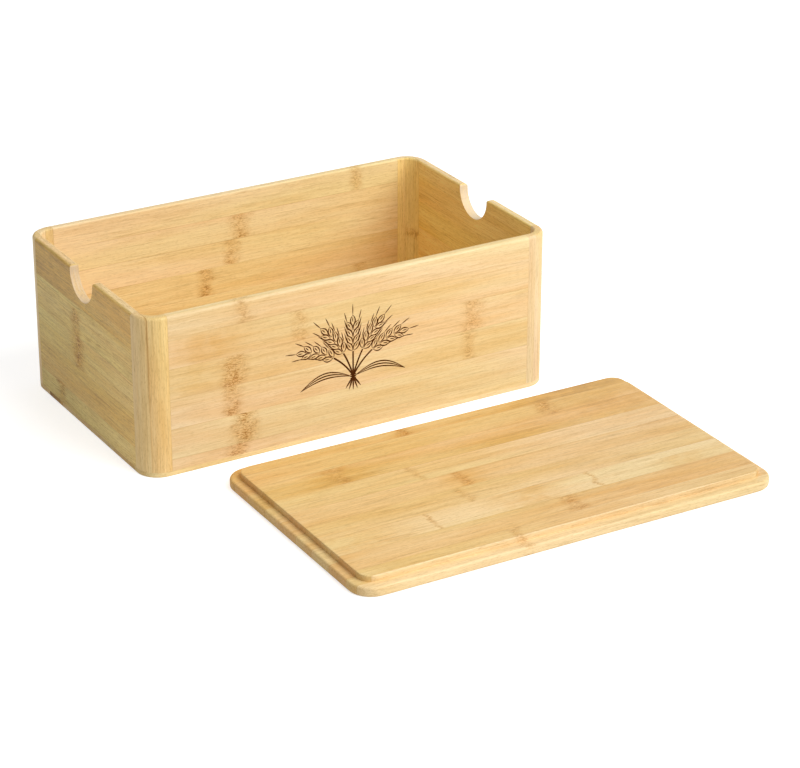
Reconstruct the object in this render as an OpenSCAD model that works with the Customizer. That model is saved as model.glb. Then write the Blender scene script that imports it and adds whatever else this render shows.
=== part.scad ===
// Bread box of laminated bamboo with a loose lid.
// Four wall boards are joined by curved corner posts and stand on a base board.
// The end walls have finger notches. The lid is one board, cut back round its edge
// so that a panel stands up inside the ledge. It lies in front of the box with the
// panel upwards: turned over, the ledge rests on the rim and the panel drops inside.
// The origin is the centre of the box's underside: X along it, Y to the back.

/* [Box] */
// Length of the box and of its lid
box_l = 340; // [260:1:420]
// Depth of the box, front to back
box_w = 202; // [150:1:280]
// Height from the table to the rim
box_h = 124; // [80:1:180]
// Thickness of the wall boards
wall_t = 7; // [6:0.5:9]
// Thickness of the base board
base_t = 4; // [3:0.5:8]
// Rounding of the base board's lower edge
base_edge_r = 1; // [0.5:0.5:2]

/* [Corner posts] */
// Outer radius of the upright corners
corner_r = 17.5; // [12:0.5:18]
// Reach of a post along the front or back wall, from the outer corner
long_leg = 20; // [18.5:0.5:40]
// Reach of a post along the end wall, from the outer corner
short_leg = 18.5; // [18.5:0.5:40]
// Thickness of the tongue on a wall board's ends
tongue_t = 2.4; // [2:0.1:3]
// Length of the tongue
tongue_l = 4; // [3:0.5:6]
// How far below the rim the tongue stops, so that the rim hides it
tongue_stop = 10; // [5:1:30]

/* [Rim] */
// Rounding of the rim's outer edge
rim_outer_r = 2.5; // [1:0.5:3]
// Rounding of the rim's inner edge
rim_inner_r = 1.5; // [0.5:0.5:2.5]

/* [Finger notches] */
// Radius of the half-round notch
notch_r = 19.5; // [12:0.5:25]
// Radius of the shoulders where the notch rolls over into the rim
notch_shoulder_r = 2; // [1:0.5:4]

/* [Lid] */
// Thickness of the lid at its ledge
lid_t = 7.5; // [6:0.5:12]
// How far the lid stands out past the front and back walls, as a grip
lid_over = 1; // [0:0.5:5]
// Rounding of the lid's outer edges
lid_edge_r = 2; // [1:0.5:3]
// Height of the panel above the ledge
panel_t = 4.5; // [3:0.5:8]
// Rounding of the panel's upper edge
panel_edge_r = 0.8; // [0.2:0.1:1.5]
// Play all round between the panel and the walls
panel_play = 0.5; // [0.3:0.1:2]

/* [Place of the lid] */
// How far the lid lies to the right of the box's centre
lid_x = 45; // [-100:1:100]
// Gap on the table between the box's front and the lid
lid_gap = 27; // [5:1:150]
// How far it is turned, in degrees
lid_turn = -0.4; // [-3:0.1:3]

/* [Hidden] */
$fn = 96;
bamboo = [0.93, 0.77, 0.53];
bamboo_light = [0.95, 0.83, 0.62];
bamboo_deep = [0.89, 0.71, 0.45];

wall_h = box_h - base_t;              // height of the walls and posts
long_span = box_l - 2 * long_leg;     // front and back walls, between the posts
short_span = box_w - 2 * short_leg;   // end walls, between the posts
tongue_h = wall_h - tongue_stop;
glue_gap = 0.1;                       // room round a tongue for the glue
lid_w = box_w + 2 * lid_over;
lid_y = box_w / 2 + lid_gap + lid_w / 2;
panel_inset = wall_t + panel_play;    // from the box's outer faces to the panel
over = 1;                             // how far a cutter runs past a face

// What a rounding of radius r takes off a corner. The rounding's centre is the
// origin, and the corner points to +X and +Y.
module corner_waste(r) {
    difference() {
        square(r + over);
        circle(r);
    }
}

// Rectangle from the origin with its two right-hand corners rounded
module edge_section(reach, height, low_r, high_r) {
    difference() {
        square([reach, height]);
        if (high_r > 0) translate([reach - high_r, height - high_r]) corner_waste(high_r);
        if (low_r > 0) translate([reach - low_r, low_r]) rotate(-90) corner_waste(low_r);
    }
}

// Section of a wall or post: X runs inwards from the outer face, Y upwards
module wall_section() {
    difference() {
        square([wall_t, wall_h]);
        translate([rim_outer_r, wall_h - rim_outer_r]) rotate(90) corner_waste(rim_outer_r);
        translate([wall_t - rim_inner_r, wall_h - rim_inner_r]) corner_waste(rim_inner_r);
    }
}

// Board with rounded corners, its edge rounded below and above
module rounded_board(l, w, r, t, low_r, high_r) {
    core_l = l - 2 * r;
    core_w = w - 2 * r;
    translate([-core_l / 2, -core_w / 2, 0]) cube([core_l, core_w, t]);
    for (quarter = [0:3]) {
        lengthwise = quarter % 2 == 1;
        side = lengthwise ? core_w : core_l;
        run = lengthwise ? core_l : core_w;
        rotate([0, 0, 90 * quarter]) translate([side / 2, 0, 0]) {
            // straight edge on this side
            translate([0, run / 2, 0]) rotate([90, 0, 0]) linear_extrude(run)
                edge_section(r, t, low_r, high_r);
            // corner at its far end
            translate([0, run / 2, 0]) rotate_extrude(angle = 90)
                edge_section(r, t, low_r, high_r);
        }
    }
}

// Wall board centred on X, its outer face on Y = 0 facing -Y, standing on the base
module wall_board(span) {
    translate([-span / 2, 0, base_t]) rotate([90, 0, 90]) linear_extrude(span) wall_section();
    for (end = [0, 1]) mirror([end, 0, 0])
        translate([span / 2 - over, (wall_t - tongue_t) / 2, base_t])
            cube([tongue_l + over, tongue_t, tongue_h]);
}

// Outline of the finger notch, seen along the wall's thickness, its top past the rim
module notch_outline() {
    half_w = notch_r + notch_shoulder_r;
    circle(notch_r);
    difference() {
        translate([-half_w, 0]) square([2 * half_w, notch_shoulder_r + over]);
        for (side = [-1, 1]) translate([side * half_w, 0]) circle(notch_shoulder_r);
    }
}

// End wall: a wall board with the notch cut through its top edge
module notched_board() {
    difference() {
        wall_board(short_span);
        translate([0, wall_t + over, box_h - notch_shoulder_r])
            rotate([90, 0, 0]) linear_extrude(wall_t + 2 * over) notch_outline();
    }
}

// Section of a post as it is carried round the corner, outer face away from the axis
module post_section() {
    translate([corner_r, 0]) mirror([1, 0]) wall_section();
}

// Straight leg of a post along -Y, past the curve
module post_leg(reach) {
    rotate([90, 0, 0]) linear_extrude(reach - corner_r) post_section();
}

// Groove for a wall's tongue in the end of a leg along -Y
module post_groove(reach) {
    groove_w = tongue_t + 2 * glue_gap;
    groove_l = tongue_l + glue_gap;
    groove_h = tongue_h + glue_gap;
    translate([corner_r - (wall_t + groove_w) / 2, corner_r - reach - over, -over])
        cube([groove_w, groove_l + over, groove_h + over]);
}

// Corner post round the origin, for the back right corner of the box: the curve
// from +X to +Y, a short leg along the end wall and a long one along the back wall
module corner_post() {
    difference() {
        union() {
            rotate_extrude(angle = 90) post_section();
            post_leg(short_leg);
            mirror([1, -1, 0]) post_leg(long_leg);
        }
        post_groove(short_leg);
        mirror([1, -1, 0]) post_groove(long_leg);
    }
}

// Post at the corner to the right or left (x_side) and at the back or front (y_side)
module post_at(x_side, y_side) {
    mirror([x_side < 0 ? 1 : 0, 0, 0]) mirror([0, y_side < 0 ? 1 : 0, 0])
        translate([box_l / 2 - corner_r, box_w / 2 - corner_r, base_t]) corner_post();
}

// Where the lid lies, its flat side on the table
module lid_place() {
    translate([lid_x, -lid_y, 0]) rotate([0, 0, lid_turn]) children();
}

module base_board() {
    color(bamboo_deep) rounded_board(box_l, box_w, corner_r, base_t, base_edge_r, 0);
}

module front_wall() {
    color(bamboo) translate([0, -box_w / 2, 0]) wall_board(long_span);
}

module back_wall() {
    color(bamboo) rotate([0, 0, 180]) translate([0, -box_w / 2, 0]) wall_board(long_span);
}

module left_wall() {
    color(bamboo) rotate([0, 0, -90]) translate([0, -box_l / 2, 0]) notched_board();
}

module right_wall() {
    color(bamboo) rotate([0, 0, 90]) translate([0, -box_l / 2, 0]) notched_board();
}

module front_left_post() { color(bamboo_light) post_at(-1, -1); }

module front_right_post() { color(bamboo_light) post_at(1, -1); }

module back_left_post() { color(bamboo_light) post_at(-1, 1); }

module back_right_post() { color(bamboo_light) post_at(1, 1); }

module lid_board() {
    color(bamboo_light) lid_place() {
        rounded_board(box_l, lid_w, corner_r, lid_t, lid_edge_r, lid_edge_r);
        // the panel, standing up inside the ledge
        translate([0, 0, lid_t - over])
            rounded_board(box_l - 2 * panel_inset, box_w - 2 * panel_inset,
                          corner_r - panel_inset, over + panel_t, 0, panel_edge_r);
    }
}

base_board();
front_wall();
back_wall();
left_wall();
right_wall();
front_left_post();
front_right_post();
back_left_post();
back_right_post();
lid_board();
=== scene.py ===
"""Looks of a laminated bamboo bread box and its loose lid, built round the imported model.

Places are in metres in the model's frame: X along the box, Y to the back, Z up. The
grain of each board is worked out in millimetres, on axes of its own: along the grain,
across the strips, and through the board.
"""

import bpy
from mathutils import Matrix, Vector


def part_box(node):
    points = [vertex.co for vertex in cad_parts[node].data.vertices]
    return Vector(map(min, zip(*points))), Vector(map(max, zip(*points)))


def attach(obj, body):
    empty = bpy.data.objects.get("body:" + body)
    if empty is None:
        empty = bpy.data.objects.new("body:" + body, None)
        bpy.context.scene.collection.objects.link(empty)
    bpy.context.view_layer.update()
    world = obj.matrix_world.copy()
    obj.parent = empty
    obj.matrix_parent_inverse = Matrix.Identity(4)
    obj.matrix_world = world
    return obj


bl_info = {
    "name": "Bamboo Bread Box",
    "version": (1, 0, 0),
    "blender": (4, 5, 0),
    "location": "3D Viewport > Sidebar > Bread Box",
    "description": "Bamboo boards, a burnt wheat sheaf and a pale studio for a bread box",
    "category": "Object",
}

import math
from typing import NamedTuple

import bpy
import numpy as np
from bpy.props import FloatProperty, FloatVectorProperty, PointerProperty
from bpy.types import Operator, Panel, PropertyGroup
from mathutils import Matrix

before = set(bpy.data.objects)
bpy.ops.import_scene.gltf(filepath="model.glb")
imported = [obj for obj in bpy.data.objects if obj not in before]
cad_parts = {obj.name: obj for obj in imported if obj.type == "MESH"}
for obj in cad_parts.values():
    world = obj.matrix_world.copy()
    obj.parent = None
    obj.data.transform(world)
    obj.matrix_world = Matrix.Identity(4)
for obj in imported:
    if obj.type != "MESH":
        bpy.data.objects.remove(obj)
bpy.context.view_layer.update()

MM = 0.001
X, Y, Z = 0, 1, 2
SENSOR_WIDTH = 36.0  # the camera's, in mm

# Sizes of the boards, in mm
LENGTH = 340.0  # of the base and of the lid
LONG_SPAN = 300.0  # of the front and back walls, between the posts
SHORT_SPAN = 165.0  # of the end walls, between the posts
POST_HEIGHT = 120.0
RIM_START, RIM_END = 116.0, 120.0  # where the painted light on a wall's upper rim sets in, from the table
NOTCH_HEIGHT = 122.0  # middle of a finger notch's half-round, from the table
NOTCH_RADIUS = 19.5
LID_TURN = math.radians(-0.4)  # how far the lid is turned where it lies

# The pattern's own measures, in mm where nothing else is said
MIDDLE = 0.5  # middle value of a tone and of noise
STRIP_STEP = 37.3  # from the noise of one strip to that of the next
BOARD_STEP = 211.0  # from the noise of one board to that of the next
RING_WAVER = 14.0  # width in which a growth ring's middle line wavers
RING_FADE = 1.45  # shares of its reach at which a ring has faded out
RING_BEND = 9.0  # width in which the fibres bend sideways in a ring
PLAIN_BEND = 0.6  # the same away from the rings
FAR = 1000.0  # farther than any glue line


# ---------------------------------------------------------------- the boards' grain


class Ring(NamedTuple):
    """Where a growth ring of the cane crosses a strip, in mm on the board's axes."""

    place: float  # along the grain
    low: float  # the strip's two edges
    high: float
    reach: float = 8.0  # half its length along the grain
    strength: float = 0.7


class Board(NamedTuple):
    """How one board is cut from the bamboo, in mm on the board's axes."""

    node: str
    along: int  # model axis of the grain
    across: int  # model axis from strip to strip
    span: float  # its length along the grain
    edges: tuple  # glue lines between the strips
    tones: tuple  # lightness of each strip, 0 deep to 1 pale
    rings: tuple = ()
    stains_and_shade: tuple = ()  # darker stretches without a ring's flecks: stains, and painted shade on the back wall and the lid
    butts: bool = False  # whether its ends butt against the posts
    painted_light_filters: tuple = ((1.0, 1.0, 1.0),) * 2  # filters over its faces, at its two ends, that paint light and shade on it
    grain: float = 1.0  # how strongly its fibres show
    end_shade: float = 0.5  # how much darker its end grain is, or below 0 how much paler
    painted_rim_light: float = 0.0  # how much paler its upper edge is where it faces up: painted light
    glue: float = 0.38  # how dark its glue lines are


FRONT_WALL = Board(
    "front_wall", X, Z, LONG_SPAN,
    edges=(12.7, 36.2, 59.7, 83.2, 106.7),
    tones=(0.48, 0.73, 0.65, 0.49, 0.54, 0.64),
    rings=(
        Ring(-91, 106.7, 124, 7, 0.50),
        Ring(-45, 83.2, 106.7, 7, 0.50),
        Ring(-99, 59.7, 83.2, 11, 0.95),
        Ring(-101, 36.2, 59.7, 8, 0.85),
        Ring(-91, 12.7, 36.2, 11, 1.0),
        Ring(-98, 4, 12.7, 9, 0.85),
        Ring(101, 59.7, 83.2, 10, 0.62),
        Ring(98, 36.2, 59.7, 7, 0.48),
    ),
    stains_and_shade=(Ring(-118, 83.2, 106.7, 30, 0.6), Ring(-128, 59.7, 83.2, 26, 0.5)),
    butts=True,
    # Painted light: darker at the left end, where less light falls, and bluer at the right.
    painted_light_filters=((0.94, 0.935, 1.03), (0.99, 1.02, 1.13)),
    grain=0.85,
)
BACK_WALL = Board(
    "back_wall", X, Z, LONG_SPAN,
    edges=(20, 42, 64.5, 85, 105),
    # The upper strips are paler partly as painted light, where more light falls on the inside from
    # above.
    tones=(0.60, 0.64, 0.62, 0.92, 0.92, 1.0),
    rings=(
        Ring(8, 85, 105, 9, 0.90),
        Ring(-1, 64.5, 85, 7, 0.85),
        Ring(111, 105, 124, 6, 0.75),
        Ring(-24, 42, 64.5, 7, 0.90),
        Ring(114, 20, 42, 6, 0.65),
        Ring(-62, 4, 20, 8, 0.60),
        Ring(-108, 20, 42, 9, 0.70),
    ),
    # Near the right end these paint the shadow of the right wall on the back wall.
    stains_and_shade=(Ring(150, 4, 64.5, 34, 0.55), Ring(152, 64.5, 85, 24, 0.45)),
    butts=True,
    # Painted light and shade: a slight tint that changes from end to end.
    painted_light_filters=((1.02, 1.02, 1.05), (1.02, 1.01, 0.96)),
)
LEFT_WALL = Board(
    "left_wall", Y, Z, SHORT_SPAN,
    edges=(19.5, 45, 70.5, 96),
    tones=(0.74, 0.44, 0.62, 0.52, 0.14),
    rings=(
        Ring(14, 70.5, 92, 8, 0.95),
        Ring(12, 45, 70.5, 11, 1.0),
        Ring(46, 4, 21, 9, 0.90),
    ),
    stains_and_shade=(Ring(70, 96, 124, 70, 0.80),),
    butts=True,
    # Painted shade on the faces that look to the left, darker and more olive towards the back.
    painted_light_filters=((1.02, 0.985, 0.68), (0.87, 0.865, 0.56)),
    grain=2.2,
    end_shade=-0.68,
    # Painted light on the upward faces of its rim.
    painted_rim_light=0.6,
)
RIGHT_WALL = Board(
    "right_wall", Y, Z, SHORT_SPAN,
    edges=(22, 44, 67, 90, 113),
    tones=(0.74, 0.68, 0.80, 0.74, 0.76, 0.84),
    rings=(
        Ring(-58, 44, 67, 8, 0.75),
        Ring(-61, 67, 90, 7, 0.70),
        Ring(37, 4, 22, 7, 0.65),
        Ring(44, 22, 44, 8, 0.80),
    ),
    butts=True,
    # Painted shade and bounced light: a warm orange on the inner face, which looks to the left.
    painted_light_filters=((1.07, 1.02, 0.66), (1.13, 1.09, 0.73)),
    end_shade=-0.85,
    grain=1.5,
)
BASE_BOARD = Board(
    "base_board", X, Y, LENGTH,
    edges=(-79, -72, -45, -21, 21, 45.5, 69),
    tones=(0.78, 0.70, 0.70, 0.95, 0.85, 1.0, 0.75, 0.85),
    rings=(
        Ring(-96, -45, -21, 9, 0.75),
        Ring(58, -21, 21, 8, 0.65),
        Ring(-34, 21, 45.5, 8, 0.80),
        Ring(112, 45.5, 69, 9, 0.75),
        Ring(21, -72, -45, 8, 0.70),
    ),
    stains_and_shade=(Ring(-172, 45.5, 69, 24, 2.6), Ring(-172, -79, -72, 24, 1.6)),
)
LID_BOARD = Board(
    "lid_board", X, Y, LENGTH,
    edges=(-92.5, -81, -58, -33.5, -10.5, 12, 35, 60, 81),
    tones=(0.92, 0.52, 0.27, 0.90, 0.50, 0.36, 0.58, 0.31, 0.34, 0.28),
    rings=(
        Ring(-105, 35, 60, 8, 0.50),
        Ring(-29, 81, 102, 7, 0.85),
        Ring(84, 60, 81, 9, 0.80),
        Ring(-55.5, 12, 35, 3.5, 0.45),
        Ring(-30.5, -10.5, 12, 5, 0.55),
        Ring(-42, -33.5, -10.5, 4.5, 0.45),
        Ring(17, -81, -58, 8, 0.60),
        Ring(-40, -102, -81, 4.5, 0.45),
        Ring(-82, -58, -33.5, 2.2, 0.60),
        Ring(50, -58, -33.5, 2.4, 0.60),
    ),
    stains_and_shade=(
        Ring(-2, -58, -33.5, 34, 1.1),
        Ring(-138, -58, -33.5, 36, 0.8),
        Ring(122, -58, -42, 22, 0.8),
        Ring(-30, -10.5, 12, 18, 0.7),
        Ring(-105, 35, 60, 26, 0.6),
        Ring(-29, 81, 102, 18, 0.6),
        Ring(40, 35, 47, 70, 0.45),
        # The last three paint shade: the lid darker towards its right back.
        Ring(125, 81, 102, 80, 0.9),
        Ring(125, 60, 81, 60, 0.5),
        Ring(145, 35, 60, 60, 0.6),
    ),
    # Painted light: darker towards the right end, where less light falls.
    painted_light_filters=((0.985, 0.95, 0.90), (0.90, 0.87, 0.89)),
    grain=1.2,
    end_shade=0.50,
)


def post(node, edges, tones, cast, **finish):
    """A corner post: upright grain, its glue lines parallel to the end walls, and one filter of
    painted light and shade for both its ends.
    """
    return Board(
        node, Z, X, POST_HEIGHT, edges, tones, painted_light_filters=(cast, cast), end_shade=0.1, **finish
    )


LEFT_EDGES, RIGHT_EDGES = (-163.5, -156.5), (156.5, 163.5)
# Each post's filter paints light and shade on its faces that look to the left or to the front.
FRONT_LEFT_POST = post(
    "front_left_post", (-164.1,), (0.70, 0.40), (1.01, 1.01, 0.97), grain=1.4, glue=0.95
)
BACK_LEFT_POST = post(
    "back_left_post", LEFT_EDGES, (0.72, 0.84, 0.70), (0.97, 0.97, 0.95), grain=1.4
)
FRONT_RIGHT_POST = post(
    "front_right_post", RIGHT_EDGES, (0.60, 0.54, 0.56), (0.955, 1.0, 1.20), grain=1.1, glue=0.18
)
BACK_RIGHT_POST = post(
    "back_right_post", RIGHT_EDGES, (0.95, 0.92, 0.95), (1.07, 1.0, 0.71), grain=1.4,
    rings=(Ring(60, 156.5, 170, 4, 0.55),),
)


# ---------------------------------------------------------------- what a user may change


class BambooLook(PropertyGroup):
    """Colours and finish of the bamboo"""

    pale: FloatVectorProperty(
        name="Pale Strip", description="Colour of the palest strips",
        subtype="COLOR", size=4, min=0, max=1, default=(0.93, 0.715, 0.40, 1),
    )
    deep: FloatVectorProperty(
        name="Deep Strip", description="Colour of the deepest strips",
        subtype="COLOR", size=4, min=0, max=1, default=(0.80, 0.485, 0.165, 1),
    )
    charred: FloatVectorProperty(
        name="Carbonised", description="Filter over strips darker than the deepest",
        subtype="COLOR", size=4, min=0, max=1, default=(0.35, 0.27, 0.20, 1),
    )
    olive: FloatVectorProperty(
        name="Olive Cast", description="Filter where the cane leans to olive",
        subtype="COLOR", size=4, min=0, max=1, default=(0.965, 1.0, 0.90, 1),
    )
    halo: FloatVectorProperty(
        name="Ring Halo", description="Filter over a growth ring and round it",
        subtype="COLOR", size=4, min=0, max=1, default=(0.83, 0.65, 0.40, 1),
    )
    ring: FloatVectorProperty(
        name="Ring Flecks", description="Filter over the flecks in a growth ring",
        subtype="COLOR", size=4, min=0, max=1, default=(0.54, 0.38, 0.21, 1),
    )
    fibre: FloatVectorProperty(
        name="Fibre Line", description="Filter over long fibre lines and pores",
        subtype="COLOR", size=4, min=0, max=1, default=(0.70, 0.62, 0.50, 1),
    )
    glue: FloatVectorProperty(
        name="Glue Line", description="Filter over glue lines",
        subtype="COLOR", size=4, min=0, max=1, default=(0.66, 0.50, 0.33, 1),
    )
    end_grain: FloatVectorProperty(
        name="End Grain", description="Filter over the grain where it ends",
        subtype="COLOR", size=4, min=0, max=1, default=(0.72, 0.61, 0.44, 1),
    )
    sanded: FloatVectorProperty(
        name="Sanded Cut", description="Colour of the sanded cuts of the notches",
        subtype="COLOR", size=4, min=0, max=1, default=(0.78, 0.635, 0.46, 1),
    )
    contrast: FloatProperty(
        name="Strip Contrast", description="How much the strips differ in lightness",
        min=0, max=2, default=1.0,
    )
    fibre_shade: FloatProperty(
        name="Fibre Shade", description="How far the fibres lighten and darken the bamboo",
        min=0, max=0.2, default=0.064,
    )
    line_shade: FloatProperty(
        name="Line Shade", description="How dark the long fibre lines and pores are",
        min=0, max=1, default=0.36,
    )
    relief: FloatProperty(
        name="Relief", description="Depth of the fibres that the lacquer leaves",
        unit="LENGTH", subtype="DISTANCE", min=0, max=0.001, default=0.00008, precision=5,
    )


class WheatLook(PropertyGroup):
    """Sizes and colour of the burnt wheat sheaf"""

    middle: FloatVectorProperty(
        name="Middle", description="Where the stalks are tied, on the front wall's face",
        unit="LENGTH", subtype="XYZ", size=3, default=(-0.0015, -0.101, 0.045),
    )
    stalk: FloatProperty(
        name="Stalk Length", description="From the tie to the tip of an ear",
        unit="LENGTH", subtype="DISTANCE", min=0.01, max=0.1, default=0.042,
    )
    line: FloatProperty(
        name="Line Width", description="Width of a drawn line at its middle",
        unit="LENGTH", subtype="DISTANCE", min=0.0002, max=0.003, default=0.00135,
    )
    proud: FloatProperty(
        name="Proud", description="How far the burnt lines stand out",
        unit="LENGTH", subtype="DISTANCE", min=0.00001, max=0.0002, default=0.00005,
        precision=5,
    )
    colour: FloatVectorProperty(
        name="Burn", description="Brown of the burnt lines",
        subtype="COLOR", size=4, min=0, max=1, default=(0.045, 0.011, 0.001, 1),
    )
    scorch: FloatVectorProperty(
        name="Scorch", description="Brown of the lines' scorched edges",
        subtype="COLOR", size=4, min=0, max=1, default=(0.29, 0.095, 0.010, 1),
    )


class StudioLook(PropertyGroup):
    """Camera, lamp, light from all round and floor"""

    camera: FloatVectorProperty(
        name="Camera", description="Where the camera stands",
        unit="LENGTH", subtype="XYZ", size=3, default=(-0.925755, -1.746708, 0.902676),
    )
    azimuth: FloatProperty(
        name="Azimuth", description="Turn of the view round the box, 0 from the front",
        unit="ROTATION", subtype="ANGLE", default=-0.5299,
    )
    elevation: FloatProperty(
        name="Elevation", description="How steeply the camera looks down",
        unit="ROTATION", subtype="ANGLE", default=0.4295,
    )
    roll: FloatProperty(
        name="Roll", description="Turn of the camera about its line of sight",
        unit="ROTATION", subtype="ANGLE", default=0.0016,
    )
    lens: FloatProperty(
        name="Lens", description="Focal length in millimetres on a 36 mm wide sensor",
        min=20, max=400, default=127.21,
    )
    key: FloatProperty(
        name="Key Lamp", description="Power of the soft lamp above the front, in watts",
        min=0, max=500, default=55.0,
    )
    air: FloatProperty(
        name="Room Light", description="Strength of the light from all round",
        min=0, max=2, default=0.41,
    )
    floor: FloatVectorProperty(
        name="Floor", description="Colour of the floor",
        subtype="COLOR", size=4, min=0, max=1, default=(0.80, 0.80, 0.80, 1),
    )
    floor_glow: FloatProperty(
        name="Floor Glow", description="What the camera sees on the floor besides its light",
        min=0, max=1, default=0.64,
    )
    floor_size: FloatProperty(
        name="Floor Size", description="Length of the floor's sides",
        unit="LENGTH", subtype="DISTANCE", min=2, max=100, default=30.0,
    )


# ---------------------------------------------------------------- node trees


class Sketch:
    """A node tree to which nodes are added by value, so that a formula reads as one line."""

    COLUMNS = 12  # nodes in a row of the editor
    WIDTH, HEIGHT = 200, 260  # from node to node and from row to row

    def __init__(self, tree):
        self.tree = tree

    def add(self, kind, inputs=None, **settings):
        """A node with these settings. Inputs are values or other nodes' sockets."""
        node = self.tree.nodes.new(kind)
        row, column = divmod(len(self.tree.nodes), self.COLUMNS)
        node.location = (self.WIDTH * column, -self.HEIGHT * row)
        for name, value in settings.items():
            setattr(node, name, value)
        for socket, value in (inputs or {}).items():
            if isinstance(value, bpy.types.NodeSocket):
                self.tree.links.new(value, node.inputs[socket])
            else:
                node.inputs[socket].default_value = value
        return node

    def math(self, operation, *values, clamp=False):
        """The result of a Math node on values or sockets."""
        node = self.add("ShaderNodeMath", dict(enumerate(values)), operation=operation)
        node.use_clamp = clamp
        return node.outputs[0]

    def mix(self, share, first, second, blend="MIX"):
        """Colour between first and second."""
        inputs = {0: share, 6: first, 7: second}
        return self.add("ShaderNodeMix", inputs, data_type="RGBA", blend_type=blend).outputs[2]

    def tint(self, share, colour, filter_colour):
        """colour seen through a filter, as far as share says."""
        return self.mix(share, colour, filter_colour, blend="MULTIPLY")

    def ramp(self, value, low, high, start=0.0, end=1.0):
        """start below low, end above high, and a smooth rise between them."""
        node = self.add(
            "ShaderNodeMapRange",
            {"Value": value, "From Min": low, "From Max": high, "To Min": start, "To Max": end},
            interpolation_type="SMOOTHSTEP",
        )
        return node.outputs["Result"]

    def noise(self, vector, stretch, detail=2.0, roughness=0.5, distortion=0.0):
        """Noise whose blots are 1/stretch long on each axis, from 0 to 1 about 0.5."""
        scaled = self.add("ShaderNodeVectorMath", {0: vector, 1: stretch}, operation="MULTIPLY")
        node = self.add(
            "ShaderNodeTexNoise",
            {"Vector": scaled.outputs[0], "Scale": 1.0, "Detail": detail,
             "Roughness": roughness, "Distortion": distortion},
        )
        return node.outputs[0]

    def place(self, group, **inputs):
        """The outputs of a node group, with its inputs by name."""
        return self.add("ShaderNodeGroup", inputs, node_tree=group).outputs


def empty_sketch(owner):
    """The sketch of a new material's or world's node tree, emptied."""
    owner.use_nodes = True
    owner.node_tree.nodes.clear()
    return Sketch(owner.node_tree)


def shader_group(name, inputs, outputs):
    """An empty shader node group, its sketch, its inputs' sockets and its output node."""
    group = bpy.data.node_groups.new(name, "ShaderNodeTree")
    for in_out, sockets in (("INPUT", inputs), ("OUTPUT", outputs)):
        for socket, kind in sockets.items():
            group.interface.new_socket(socket, in_out=in_out, socket_type=f"NodeSocket{kind}")
    sketch = Sketch(group)
    entry = sketch.add("NodeGroupInput")
    leave = sketch.add("NodeGroupOutput")
    return group, sketch, entry.outputs, leave.inputs


def fibre_group():
    """Fibres of the cane. Fine fibres and broader bands are noise drawn out along the
    grain. A line is where such noise passes its middle value, so it runs on, thin and
    wandering. Pores are the highest of a short fine noise. The drift is a slow change of
    tone along a strip, and the cast a slow change of hue."""
    group, n, given, out = shader_group(
        "Bamboo Fibres",
        {"Board": "Vector", "Strip": "Float", "Seed": "Float"},
        {"Fibre": "Float", "Band": "Float", "Line": "Float", "Pore": "Float",
         "Drift": "Float", "Cast": "Float"},
    )
    apart = n.math("MULTIPLY_ADD", given["Strip"], STRIP_STEP, given["Seed"])
    shift = n.add("ShaderNodeCombineXYZ", {0: apart, 1: n.math("MULTIPLY", apart, 0.31), 2: apart})
    own = n.add("ShaderNodeVectorMath", {0: given["Board"], 1: shift.outputs[0]}, operation="ADD")
    own = own.outputs[0]
    fine = n.noise(own, (0.042, 1.05, 1.05), detail=3.0, roughness=0.66)
    bands = n.noise(own, (0.010, 0.19, 0.19), detail=3.0, roughness=0.6)
    course = n.noise(own, (0.007, 0.20, 0.20), detail=3.0, roughness=0.55)
    beside = n.math("ABSOLUTE", n.math("SUBTRACT", course, MIDDLE))
    broken = n.noise(own, (0.022, 0.25, 0.25), detail=1.0)
    line = n.math("MULTIPLY", n.ramp(beside, 0.004, 0.028, 1.0, 0.0), n.ramp(broken, 0.40, 0.62))
    pores = n.noise(own, (0.28, 1.35, 1.35), detail=2.0, roughness=0.6)
    drift = n.noise(own, (0.0075, 0.045, 0.045), detail=2.0, roughness=0.5)
    cast = n.noise(own, (0.004, 0.03, 0.03), detail=1.0)
    results = {
        "Fibre": n.ramp(fine, 0.30, 0.70),
        "Band": n.ramp(bands, 0.30, 0.70),
        "Line": line,
        "Pore": n.ramp(pores, 0.50, 0.68),
        "Drift": n.ramp(drift, 0.25, 0.75),
        "Cast": n.ramp(cast, 0.35, 0.65),
    }
    for name, result in results.items():
        n.tree.links.new(result, out[name])
    return group


def ring_group():
    """A growth ring on one strip: 1 at its wavering middle line, falling smoothly to 0
    at its reach along the grain, and 0 beyond the strip's edges. The greater of this and
    the mark before it is put out."""
    group, n, given, out = shader_group(
        "Growth Ring",
        {"Board": "Vector", "Place": "Float", "Low": "Float", "High": "Float",
         "Reach": "Float", "Strength": "Float", "Before": "Float"},
        {"Mark": "Float"},
    )
    axes = n.add("ShaderNodeSeparateXYZ", {0: given["Board"]}).outputs
    waver = n.noise(given["Board"], (0.05, 0.14, 0.1), detail=2.0, roughness=0.6)
    away = n.math("SUBTRACT", axes[0], given["Place"])
    away = n.math("ADD", away, n.math("MULTIPLY_ADD", waver, RING_WAVER, -RING_WAVER / 2))
    away = n.math("DIVIDE", n.math("ABSOLUTE", away), given["Reach"])
    patchy = n.ramp(n.noise(given["Board"], (0.09, 0.09, 0.09), detail=1.0), 0.3, 0.6, 0.55, 1.0)
    mark = n.math("MULTIPLY", n.ramp(away, 0.0, RING_FADE, 1.0, 0.0), given["Strength"])
    mark = n.math("MULTIPLY", mark, patchy)
    mark = n.math("MULTIPLY", mark, n.math("GREATER_THAN", axes[1], given["Low"]))
    mark = n.math("MULTIPLY", mark, n.math("LESS_THAN", axes[1], given["High"]))
    n.tree.links.new(n.math("MAXIMUM", mark, given["Before"]), out["Mark"])
    return group


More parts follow.
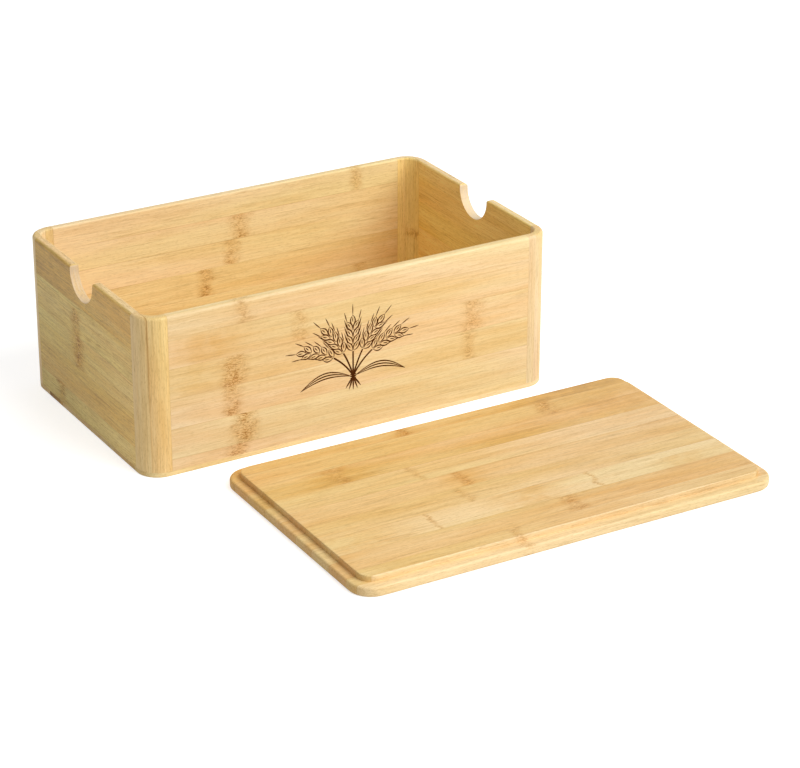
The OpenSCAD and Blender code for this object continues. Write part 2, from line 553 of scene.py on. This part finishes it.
def fleck_group():
    """Flecks of a growth ring: short crooked strokes along the grain, as a dark and a
    light mask."""
    group, n, given, out = shader_group(
        "Ring Flecks", {"Board": "Vector"}, {"Dark": "Float", "Light": "Float"}
    )
    strokes = n.noise(given["Board"], (0.26, 0.80, 0.50), 3.0, 0.65, distortion=1.3)
    n.tree.links.new(n.ramp(strokes, 0.49, 0.60), out["Dark"])
    n.tree.links.new(n.ramp(strokes, 0.47, 0.38), out["Light"])
    return group


def strip_formula(n, board, across):
    """Number and tone of the strip at a place across the board, and the distance to the
    nearest glue line: each glue line that lies behind adds one to the number and its
    step to the tone."""
    number, tone, gap = 0.0, board.tones[0], FAR
    for edge, before, after in zip(board.edges, board.tones, board.tones[1:]):
        past = n.math("GREATER_THAN", across, float(edge))
        number = n.math("ADD", past, number)
        tone = n.math("MULTIPLY_ADD", past, after - before, tone)
        away = n.math("ABSOLUTE", n.math("SUBTRACT", across, float(edge)))
        gap = n.math("MINIMUM", away, gap)
    return number, tone, gap


def marks(n, group, board_vector, rings):
    """The growth rings of a board, as one mask."""
    mark = 0.0
    for ring in rings:
        mark = n.place(
            group, Board=board_vector, Place=ring.place, Low=ring.low, High=ring.high,
            Reach=ring.reach, Strength=ring.strength, Before=mark,
        )["Mark"]
    return mark


class Grain(NamedTuple):
    """Sockets that say where a point lies in its board's grain. A mask that a board
    doesn't have is the number 0."""

    along: object  # mm along the grain
    across: object  # mm from strip to strip
    vector: object  # both of them, and mm through the board
    normal: object  # the face's direction on the model's axes
    tone: object  # lightness of the strip
    gap: object  # mm to the nearest glue line
    ring: object  # mask of the growth rings
    stain_and_shade: object  # mask of the stains and the painted shade
    light: object  # mask of the rings' light flecks
    dark: object  # mask of the rings' dark flecks
    fibres: object  # outputs of the fibre group, by name


def board_axes(n, board, position):
    """The point on the board's own axes: mm along the grain, mm across the strips, and
    a vector of both with mm through the board. The axes start where the model's do, but
    the lid's start at its middle and are turned as it lies."""
    centre, turn = (0.0, 0.0), 0.0
    if board is LID_BOARD:
        low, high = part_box(board.node)
        centre, turn = (low + high) / 2, LID_TURN
    mapping = n.add(
        "ShaderNodeMapping",
        {"Vector": position, "Location": (centre[0], centre[1], 0.0),
         "Rotation": (0.0, 0.0, turn), "Scale": (MM, MM, MM)},
        vector_type="TEXTURE",
    )
    axes = n.add("ShaderNodeSeparateXYZ", {0: mapping.outputs[0]}).outputs
    through = X + Y + Z - board.along - board.across
    along, across = axes[board.along], axes[board.across]
    vector = n.add("ShaderNodeCombineXYZ", {0: along, 1: across, 2: axes[through]}).outputs[0]
    return along, across, vector


def read_grain(n, board, seed, groups):
    """The board's pattern at a point. Its fibres waver, and bend round the rings."""
    place = n.add("ShaderNodeTexCoord").outputs
    along, across, vector = board_axes(n, board, place["Object"])
    normal = n.add("ShaderNodeSeparateXYZ", {0: place["Normal"]}).outputs
    number, tone, gap = strip_formula(n, board, across)
    ring = marks(n, groups["ring"], vector, board.rings)
    stain_and_shade = marks(n, groups["ring"], vector, board.stains_and_shade)

    swirl = n.noise(vector, (0.12, 0.25, 0.2), detail=1.0)
    width = n.math("MULTIPLY_ADD", ring, RING_BEND, PLAIN_BEND)
    bend = n.math("MULTIPLY", n.math("SUBTRACT", swirl, MIDDLE), width)
    sideways = n.add("ShaderNodeCombineXYZ", {1: bend}).outputs[0]
    bent = n.add("ShaderNodeVectorMath", {0: vector, 1: sideways}, operation="ADD").outputs[0]
    fibres = n.place(groups["fibre"], Board=bent, Strip=number, Seed=seed * BOARD_STEP)

    flecks = n.place(groups["fleck"], Board=vector)
    light = n.math("MULTIPLY", ring, n.math("MULTIPLY", flecks["Light"], 0.40))
    dark = n.math("MULTIPLY", ring, flecks["Dark"])
    return Grain(along, across, vector, normal, tone, gap, ring, stain_and_shade, light, dark, fibres)


def strip_colour(n, board, grain, look):
    """A colour from deep to pale by the strip's tone, which drifts along the strip, is
    banded, sinks in stains and in patches of painted shade, and rises in painted light on the
    upward faces of a rim. Below deep, the strip is carbonised. Here and there it has an
    olive cast."""
    tone = n.math("MULTIPLY_ADD", n.math("SUBTRACT", grain.tone, MIDDLE), look.contrast, MIDDLE)
    for effect, amount in (("Drift", 0.45), ("Band", 0.26)):
        swing = n.math("SUBTRACT", grain.fibres[effect], MIDDLE)
        tone = n.math("MULTIPLY_ADD", swing, amount, tone)
    tone = n.math("MULTIPLY_ADD", grain.stain_and_shade, -0.55, tone)
    # Painted light: the rim's upward faces paler, where the light falls on them.
    if board.painted_rim_light:
        upwards = n.ramp(grain.normal[Z], 0.4, 0.9)
        lit_top = n.math("MULTIPLY", upwards, n.ramp(grain.across, RIM_START, RIM_END))
        tone = n.math("MULTIPLY_ADD", lit_top, board.painted_rim_light, tone)
    pale = n.math("MAXIMUM", tone, 0.0, clamp=True)
    colour = n.mix(pale, tuple(look.deep), tuple(look.pale))
    charred = n.math("MULTIPLY", tone, -1.0, clamp=True)
    colour = n.tint(charred, colour, tuple(look.charred))
    return n.tint(grain.fibres["Cast"], colour, tuple(look.olive))


def painted_light_colour(n, board, grain, colour):
    """The colour through the board's filter of painted light and shade, which changes smoothly
    from end to end. On a wall or a post it covers only the faces that look to the left or to
    the front."""
    first_filter, last_filter = ((*cast, 1.0) for cast in board.painted_light_filters)
    share = n.ramp(grain.along, -0.5 * board.span, 0.5 * board.span)
    cast = n.mix(share, first_filter, last_filter)
    painted_faces = 1.0
    if Z in (board.along, board.across):
        aside = n.math("ADD", grain.normal[X], grain.normal[Y])
        painted_faces = n.ramp(aside, -0.6, -0.1, 1.0, 0.0)
    return n.tint(painted_faces, colour, cast)


def fibre_colour(n, board, grain, look, colour):
    """The colour, lighter and darker from fibre to fibre, most of all in its blue, with
    long fibre lines and pores drawn on it."""
    swing = look.fibre_shade * board.grain * np.array((1.0, 1.2, 1.7))
    shade = n.mix(grain.fibres["Fibre"], (*(1 - swing), 1.0), (*(1 + swing), 1.0))
    colour = n.tint(1.0, colour, shade)
    lines = n.math("MULTIPLY_ADD", grain.fibres["Pore"], 0.85, grain.fibres["Line"])
    lines = n.math("MULTIPLY", lines, look.line_shade * board.grain, clamp=True)
    return n.tint(lines, colour, tuple(look.fibre))


def ring_colour(n, grain, look, colour):
    """The colour, browned round the growth rings, with their light and dark flecks."""
    colour = n.tint(n.math("MULTIPLY", grain.ring, 0.80), colour, tuple(look.halo))
    colour = n.mix(grain.light, colour, tuple(look.pale))
    return n.tint(grain.dark, colour, tuple(look.ring))


def glue_colour(n, board, grain, look, colour):
    """The colour with the glue lines, which fade in places, and the joints at the ends."""
    faded = n.noise(grain.vector, (0.012, 0.05, 0.05), detail=1.0)
    faded = n.ramp(faded, 0.35, 0.65, 0.15, 1.0)
    glue = n.math("MULTIPLY", n.ramp(grain.gap, 0.10, 0.55, board.glue, 0.0), faded)
    if board.butts:
        butt = n.math("SUBTRACT", board.span / 2, n.math("ABSOLUTE", grain.along))
        glue = n.math("MAXIMUM", glue, n.ramp(butt, 0.10, 0.40, 0.35, 0.0))
    return n.tint(glue, colour, tuple(look.glue))


def end_mask(n, board, grain):
    """1 where a face looks along the fibres and, on an end wall, all round the finger
    notch, where the board's layers show. The notch is where the distance from its middle,
    the root of rise squared plus along squared, is its radius."""
    end = n.ramp(n.math("ABSOLUTE", grain.normal[board.along]), 0.45, 0.98)
    if board.along == Y:
        rise = n.math("SUBTRACT", grain.across, NOTCH_HEIGHT)
        squares = n.math("MULTIPLY_ADD", rise, rise, n.math("POWER", grain.along, 2.0))
        away = n.math("SQRT", squares)
        cut = n.ramp(away, NOTCH_RADIUS + 0.1, NOTCH_RADIUS + 0.3, 0.95, 0.0)
        layers = n.ramp(n.noise(grain.vector, (0.08, 0.08, 0.9)), 0.35, 0.65, 0.7, 1.1)
        end = n.math("MULTIPLY", n.math("MAXIMUM", end, cut), layers)
    return end


def end_colour(n, board, grain, look, colour, end):
    """The colour with its end grain darkened in speckles, or paler like a sanded cut."""
    if board.end_shade < 0:
        return n.mix(n.math("MULTIPLY", end, -board.end_shade), colour, tuple(look.sanded))
    speckle = n.noise(grain.vector, (0.2, 0.9, 0.9), detail=2.0, roughness=0.6)
    shade = n.math("MULTIPLY", end, n.ramp(speckle, 0.35, 0.65, 0.7, 1.2))
    shade = n.math("MULTIPLY", shade, board.end_shade, clamp=True)
    return n.tint(shade, colour, tuple(look.end_grain))


def bamboo_material(board, seed, look, groups):
    """Laminated bamboo for one board, under a thin lacquer that leaves the relief of the
    fibres, pores and flecks. Fibres, rings and end grain are a little duller."""
    material = bpy.data.materials.new(f"bamboo {board.node.replace('_', ' ')}")
    n = empty_sketch(material)
    grain = read_grain(n, board, seed, groups)
    end = end_mask(n, board, grain)
    colour = strip_colour(n, board, grain, look)
    colour = painted_light_colour(n, board, grain, colour)
    colour = fibre_colour(n, board, grain, look, colour)
    colour = ring_colour(n, grain, look, colour)
    colour = glue_colour(n, board, grain, look, colour)
    colour = end_colour(n, board, grain, look, colour, end)

    rough = n.math("MULTIPLY_ADD", grain.fibres["Fibre"], 0.08, 0.44)
    rough = n.math("MULTIPLY_ADD", grain.ring, 0.08, rough)
    rough = n.math("MULTIPLY_ADD", end, 0.12, rough)
    height = n.math("MULTIPLY_ADD", grain.fibres["Pore"], -0.6, grain.fibres["Fibre"])
    height = n.math("MULTIPLY_ADD", grain.dark, -0.8, height)
    bump = n.add("ShaderNodeBump", {"Strength": 0.5, "Distance": look.relief, "Height": height})
    surface = n.add(
        "ShaderNodeBsdfPrincipled",
        {"Base Color": colour, "Roughness": rough, "Normal": bump.outputs[0],
         "Specular IOR Level": 0.25, "Coat Weight": 0.03, "Coat Roughness": 0.25},
    )
    n.add("ShaderNodeOutputMaterial", {"Surface": surface.outputs[0]})
    return material


def shader_groups():
    """The three effects that every board's material uses, built once."""
    makers = {"fibre": fibre_group, "ring": ring_group, "fleck": fleck_group}
    return {name: maker() for name, maker in makers.items()}


GROUPS = {}  # filled by the first operator that needs them


def finish_boards(context, boards):
    """Gives each board its own bamboo."""
    if not GROUPS:
        GROUPS.update(shader_groups())
    seeds = {name: place for place, name in enumerate(sorted(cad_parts), 1)}
    for board in boards:
        material = bamboo_material(board, seeds[board.node], context.scene.bamboo_look, GROUPS)
        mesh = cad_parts[board.node].data
        mesh.materials.clear()
        mesh.materials.append(material)


# ---------------------------------------------------------------- the wheat sheaf


def stroke_surface(paths, widths, face, proud):
    """Drawn lines as closed bars of oval section. paths holds, for each line, the places
    (u, v) that it runs through on the wall's face, and widths its width at each of them.
    At a place p with unit normal q in the face, the section's point at angle a is
    p + q * width/2 * cos(a), standing out of the face by proud * sin(a). Both ends close
    on a flat cap. The crest is sin(a), from 0 at a line's edges to 1 along its middle."""
    lines, stations, _ = paths.shape
    around = 8
    angle = np.linspace(0, 2 * np.pi, around, endpoint=False)
    step = np.gradient(paths, axis=1)
    step /= np.linalg.norm(step, axis=2, keepdims=True)
    normal = np.stack((-step[..., 1], step[..., 0]), axis=2)
    reach = widths[:, :, None] / 2 * np.cos(angle)
    flat = paths[:, :, None, :] + normal[:, :, None, :] * reach[..., None]
    out = np.broadcast_to(proud * np.sin(angle), reach.shape)
    points = np.stack((flat[..., 0], face - out, flat[..., 1]), axis=3).reshape(-1, 3)

    ids = np.arange(lines * stations * around).reshape(lines, stations, around)
    a, b = ids[:, :-1], ids[:, 1:]
    quads = np.stack((a, b, np.roll(b, -1, 2), np.roll(a, -1, 2)), axis=3).reshape(-1, 4)
    caps = np.concatenate((ids[:, 0, :], ids[:, -1, ::-1]))
    crest = np.broadcast_to(np.sin(angle), reach.shape).ravel()
    return points, quads, caps, crest


def mesh_from(name, points, quads, caps):
    """A mesh from arrays of points, four-sided faces and many-sided end caps."""
    mesh = bpy.data.meshes.new(name)
    mesh.from_pydata(points.tolist(), [], quads.tolist() + caps.tolist())
    mesh.validate()
    mesh.polygons.foreach_set("use_smooth", np.ones(len(mesh.polygons), bool))
    return mesh


def bent_stalks(angles, length, stations):
    """Stalks from the origin. The direction at share t of the length is the stalk's angle
    from upright times 0.35 + 0.65 t, so each stalk bends outwards; its places are the
    running sum of its directions."""
    share = np.linspace(0, 1, stations)
    lean = angles[:, None] * (0.35 + 0.65 * share)
    direction = np.stack((np.sin(lean), np.cos(lean)), axis=2)
    steps = direction * (length[:, None, None] / (stations - 1))
    places = np.cumsum(steps, axis=1) - steps[:, :1]
    return places, direction


def bowed_lines(start, end, width, bow=0.0, stations=25):
    """Lines from start to end. At share t of the way a line lies bow * sin(pi t) of its
    length to the side, and its width is that share of sin(pi (0.08 + 0.84 t))."""
    share = np.linspace(0, 1, stations)
    way = (end - start)[:, None, :]
    side = np.stack((-way[..., 1], way[..., 0]), axis=2) * np.reshape(bow, (-1, 1, 1))
    path = start[:, None, :] + way * share[:, None] + side * np.sin(np.pi * share)[:, None]
    taper = np.sin(np.pi * (0.08 + 0.84 * share))
    return path, np.broadcast_to(width * taper, path.shape[:2])


def grain_lines(start, tip, line):
    """Grains of an ear: each is two lines bowed apart and a crease between them."""
    way = tip - start
    return [
        bowed_lines(start, tip, 0.76 * line, bow=0.23),
        bowed_lines(start, tip, 0.76 * line, bow=-0.23),
        bowed_lines(start + way * 0.36, start + way * 0.80, 0.64 * line, bow=0.03),
    ]


def ear_lines(places, ahead, unit, line):
    """The ears: on each stalk two rows of bearded grains, leaning outwards, and a last
    grain ahead at the tip. ahead holds the stalk's direction at each of its places."""
    grain = unit * 0.205
    stations = places.shape[1]
    rows = np.round(np.linspace(0.48, 0.86, 4) * (stations - 1)).astype(int)
    parts = []
    for side in (-1.0, 1.0):
        on = ahead[:, rows].reshape(-1, 2)
        out = np.stack((on[:, 1], -on[:, 0]), axis=1) * side
        start = places[:, rows].reshape(-1, 2) + out * unit * 0.014
        tip = start + (on * 0.86 + out * 0.50) * grain
        parts += grain_lines(start, tip, line)
        parts.append(bowed_lines(tip, tip + (on * 0.90 + out * 0.25) * grain, 0.62 * line))
    start = places[:, int(0.94 * stations)]
    tip = start + ahead[:, -1] * grain
    parts += grain_lines(start, tip, line)
    parts.append(bowed_lines(tip, tip + ahead[:, -1] * grain, 0.62 * line))
    return parts


def leaf_lines(unit, line):
    """A long leaf on each side, hanging outwards from the tie: an outline and a midrib."""
    reach = np.array([[1.05, -0.08]]) * unit
    parts = []
    for side in (-1.0, 1.0):
        end = reach * (side, 1.0)
        for bow in (0.20, 0.10, 0.15):
            parts.append(bowed_lines(end * 0.03, end, 0.8 * line, bow=bow * side, stations=41))
    return parts


def tie_lines(unit, line):
    """The tie: three bands round the stalks."""
    height = np.array([-0.035, 0.0, 0.035]) * unit
    start = np.stack((np.full(3, -0.06 * unit), height), axis=1)
    return bowed_lines(start, start * (-1.0, 1.0), 1.3 * line, bow=-0.12)


def wheat_strokes(look):
    """Lines of the sheaf: bent stalks whose ends fan out below the tie, and on them the
    ears, the leaves and the tie. All lengths are shares of the middle stalk's."""
    unit, line = look.stalk, look.line
    lean = np.radians([-84.0, -44.0, 0.0, 44.0, 84.0])
    length = unit * np.array([1.22, 1.08, 1.0, 1.08, 1.22])
    count, stations = len(lean), 97
    places, ahead = bent_stalks(lean, length, stations)
    stem = places[:, 0:stations // 2:3]
    foot = np.stack((np.sin(-lean * 0.42), -np.cos(lean * 0.42)), axis=1) * unit * 0.26
    return [
        (stem, np.full(stem.shape[:2], line)),
        bowed_lines(np.zeros((count, 2)), foot, line),
        *ear_lines(places, ahead, unit, line),
        *leaf_lines(unit, line),
        tie_lines(unit, line),
    ]


def sheaf_mesh(look):
    """All lines of the sheaf in one mesh, with their crest as an attribute."""
    middle = np.array((look.middle[X], look.middle[Z]))
    surfaces = [
        stroke_surface(paths + middle, widths, look.middle[Y], look.proud)
        for paths, widths in wheat_strokes(look)
    ]
    points, quads, caps, crests = zip(*surfaces)
    starts = np.cumsum([0, *map(len, points)])
    quads = [faces + start for faces, start in zip(quads, starts)]
    caps = [faces + start for faces, start in zip(caps, starts)]
    mesh = mesh_from("wheat_sheaf", *map(np.concatenate, (points, quads, caps)))
    crest = mesh.attributes.new("crest", "FLOAT", "POINT")
    crest.data.foreach_set("value", np.concatenate(crests))
    return mesh


def burnt_material(look):
    """Burnt bamboo: dark brown along a line's middle, scorched at its edges, dull."""
    material = bpy.data.materials.new("burnt bamboo")
    n = empty_sketch(material)
    place = n.add("ShaderNodeTexCoord").outputs["Object"]
    blots = n.noise(place, (900.0, 900.0, 900.0), detail=2.0)
    crest = n.add("ShaderNodeAttribute", attribute_name="crest").outputs["Fac"]
    depth = n.math("MULTIPLY", n.ramp(crest, 0.05, 0.75), n.ramp(blots, 0.3, 0.7, 1.0, 0.85))
    colour = n.mix(depth, tuple(look.scorch), tuple(look.colour))
    rough = n.ramp(blots, 0.3, 0.7, 0.62, 0.78)
    surface = n.add(
        "ShaderNodeBsdfPrincipled",
        {"Base Color": colour, "Roughness": rough, "Specular IOR Level": 0.05},
    )
    n.add("ShaderNodeOutputMaterial", {"Surface": surface.outputs[0]})
    return material


# ---------------------------------------------------------------- operators


class BREADBOX_OT_base(Operator):
    """Gives the base board its bamboo"""

    bl_idname = "breadbox.base"
    bl_label = "Base Board"

    def execute(self, context):
        finish_boards(context, (BASE_BOARD,))
        return {"FINISHED"}


class BREADBOX_OT_walls(Operator):
    """Gives the four wall boards their bamboo, the strips lying along them"""

    bl_idname = "breadbox.walls"
    bl_label = "Wall Boards"

    def execute(self, context):
        finish_boards(context, (FRONT_WALL, BACK_WALL, LEFT_WALL, RIGHT_WALL))
        return {"FINISHED"}


class BREADBOX_OT_posts(Operator):
    """Gives the four corner posts their bamboo, the strips standing upright"""

    bl_idname = "breadbox.posts"
    bl_label = "Corner Posts"

    def execute(self, context):
        finish_boards(
            context, (FRONT_LEFT_POST, FRONT_RIGHT_POST, BACK_LEFT_POST, BACK_RIGHT_POST)
        )
        return {"FINISHED"}


class BREADBOX_OT_lid(Operator):
    """Gives the lid its bamboo, which follows the lid as it lies"""

    bl_idname = "breadbox.lid"
    bl_label = "Lid"

    def execute(self, context):
        finish_boards(context, (LID_BOARD,))
        return {"FINISHED"}


class BREADBOX_OT_wheat(Operator):
    """Burns a wheat sheaf into the front wall"""

    bl_idname = "breadbox.wheat"
    bl_label = "Wheat Sheaf"

    def execute(self, context):
        look = context.scene.wheat_look
        mesh = sheaf_mesh(look)
        sheaf = bpy.data.objects.new("wheat_sheaf", mesh)
        context.scene.collection.objects.link(sheaf)
        mesh.materials.append(burnt_material(look))
        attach(sheaf, "box")
        return {"FINISHED"}


class BREADBOX_OT_studio(Operator):
    """Sets up the pale floor, the soft light and the camera"""

    bl_idname = "breadbox.studio"
    bl_label = "Studio"

    def execute(self, context):
        look = context.scene.studio_look
        lay_floor(context, look)
        light_room(context, look)
        hang_key(context, look)
        set_camera(context, look)
        context.scene.view_settings.view_transform = "Standard"
        return {"FINISHED"}


def seen_directly(n):
    """1 for rays from the camera, and for reflected and refracted ones, else 0."""
    rays = n.add("ShaderNodeLightPath").outputs
    glossy = n.math("MAXIMUM", rays["Is Glossy Ray"], rays["Is Transmission Ray"])
    return n.math("MAXIMUM", rays["Is Camera Ray"], glossy)


def lay_floor(context, look):
    """A flat floor as a grid of 2 by 2 points, place = (u, v) * half its size. It takes
    light and shadow, and the camera sees some white besides."""
    half = look.floor_size / 2
    u, v = np.meshgrid((-half, half), (-half, half))
    points = np.stack((u, v, np.zeros_like(u)), axis=2).reshape(-1, 3)
    mesh = bpy.data.meshes.new("floor")
    mesh.from_pydata(points.tolist(), [], [(0, 1, 3, 2)])
    floor = bpy.data.objects.new("floor", mesh)
    context.scene.collection.objects.link(floor)

    material = bpy.data.materials.new("pale floor")
    n = empty_sketch(material)
    matt = n.add("ShaderNodeBsdfDiffuse", {"Color": tuple(look.floor)})
    strength = n.math("MULTIPLY", seen_directly(n), look.floor_glow)
    glow = n.add("ShaderNodeEmission", {"Strength": strength})
    both = n.add("ShaderNodeAddShader", {0: matt.outputs[0], 1: glow.outputs[0]})
    n.add("ShaderNodeOutputMaterial", {"Surface": both.outputs[0]})
    mesh.materials.append(material)


def light_room(context, look):
    """Even light from all round, which the camera sees as white."""
    world = bpy.data.worlds.new("pale room")
    context.scene.world = world
    n = empty_sketch(world)
    strength = n.math("MULTIPLY_ADD", seen_directly(n), 1.0 - look.air, look.air)
    air = n.add("ShaderNodeBackground", {"Color": (1.0, 1.0, 1.0, 1.0), "Strength": strength})
    n.add("ShaderNodeOutputWorld", {"Surface": air.outputs[0]})


def outwards(azimuth, elevation):
    """Unit vector out from the box, azimuth 0 to the front and growing to the right:
    (sin az cos el, -cos az cos el, sin el)."""
    level = math.cos(elevation)
    return np.array((
        math.sin(azimuth) * level, -math.cos(azimuth) * level, math.sin(elevation)
    ))


def hang_key(context, look):
    """A wide soft lamp above the front, a little to the right."""
    back = outwards(math.radians(33), math.radians(43))
    aim = np.array((0.0, -0.1, 0.05))
    distance, width = 2.4, 2.2
    lamp = bpy.data.lights.new("key", "AREA")
    lamp.shape, lamp.size, lamp.energy = "DISK", width, look.key
    key = bpy.data.objects.new("key", lamp)
    key.matrix_world = facing_matrix(back, 0.0, aim + back * distance)
    context.scene.collection.objects.link(key)


def facing_matrix(back, roll, place):
    """Placement whose -Z looks against back, with its Y upwards but for the roll."""
    side = np.cross((0.0, 0.0, 1.0), back)
    side /= np.linalg.norm(side)
    up = np.cross(back, side)
    c, s = math.cos(roll), math.sin(roll)
    matrix = Matrix.Identity(4)
    columns = (c * side + s * up, c * up - s * side, back, place)
    for column, vector in enumerate(columns):
        for row in range(3):
            matrix[row][column] = float(vector[row])
    return matrix


def set_camera(context, look):
    """The camera, where it stood for the photograph."""
    back = outwards(look.azimuth, look.elevation)
    data = bpy.data.cameras.new("camera")
    data.sensor_width, data.lens = SENSOR_WIDTH, look.lens
    data.clip_start, data.clip_end = 0.05, 100.0
    camera = bpy.data.objects.new("camera", data)
    camera.matrix_world = facing_matrix(back, look.roll, np.array(look.camera))
    context.scene.collection.objects.link(camera)
    context.scene.camera = camera


class BREADBOX_PT_panel(Panel):
    """Sizes, colours and pieces of the bread box"""

    bl_label = "Bread Box"
    bl_idname = "BREADBOX_PT_panel"
    bl_space_type = "VIEW_3D"
    bl_region_type = "UI"
    bl_category = "Bread Box"

    def draw(self, context):
        for title, (look_name, _, operators) in SECTIONS.items():
            look = getattr(context.scene, look_name)
            box = self.layout.box()
            box.label(text=title)
            for name in look.__annotations__:
                box.prop(look, name)
            for operator in operators:
                box.operator(operator.bl_idname)


BOARD_OPERATORS = (BREADBOX_OT_base, BREADBOX_OT_walls, BREADBOX_OT_posts, BREADBOX_OT_lid)
SECTIONS = {
    "Bamboo": ("bamboo_look", BambooLook, BOARD_OPERATORS),
    "Wheat Sheaf": ("wheat_look", WheatLook, (BREADBOX_OT_wheat,)),
    "Studio": ("studio_look", StudioLook, (BREADBOX_OT_studio,)),
}


def register():
    """Makes the looks, the operators and the panel known to Blender."""
    for look_name, look, operators in SECTIONS.values():
        for cls in (look, *operators):
            bpy.utils.register_class(cls)
        setattr(bpy.types.Scene, look_name, PointerProperty(type=look))
    bpy.utils.register_class(BREADBOX_PT_panel)


def unregister():
    """Takes them back again."""
    bpy.utils.unregister_class(BREADBOX_PT_panel)
    for look_name, look, operators in SECTIONS.values():
        delattr(bpy.types.Scene, look_name)
        for cls in (*operators, look):
            bpy.utils.unregister_class(cls)


def main():
    """Makes everything in order."""
    register()
    bpy.ops.breadbox.base()
    bpy.ops.breadbox.walls()
    bpy.ops.breadbox.posts()
    bpy.ops.breadbox.lid()
    bpy.ops.breadbox.wheat()
    bpy.ops.breadbox.studio()


if __name__ == "__main__":
    main()
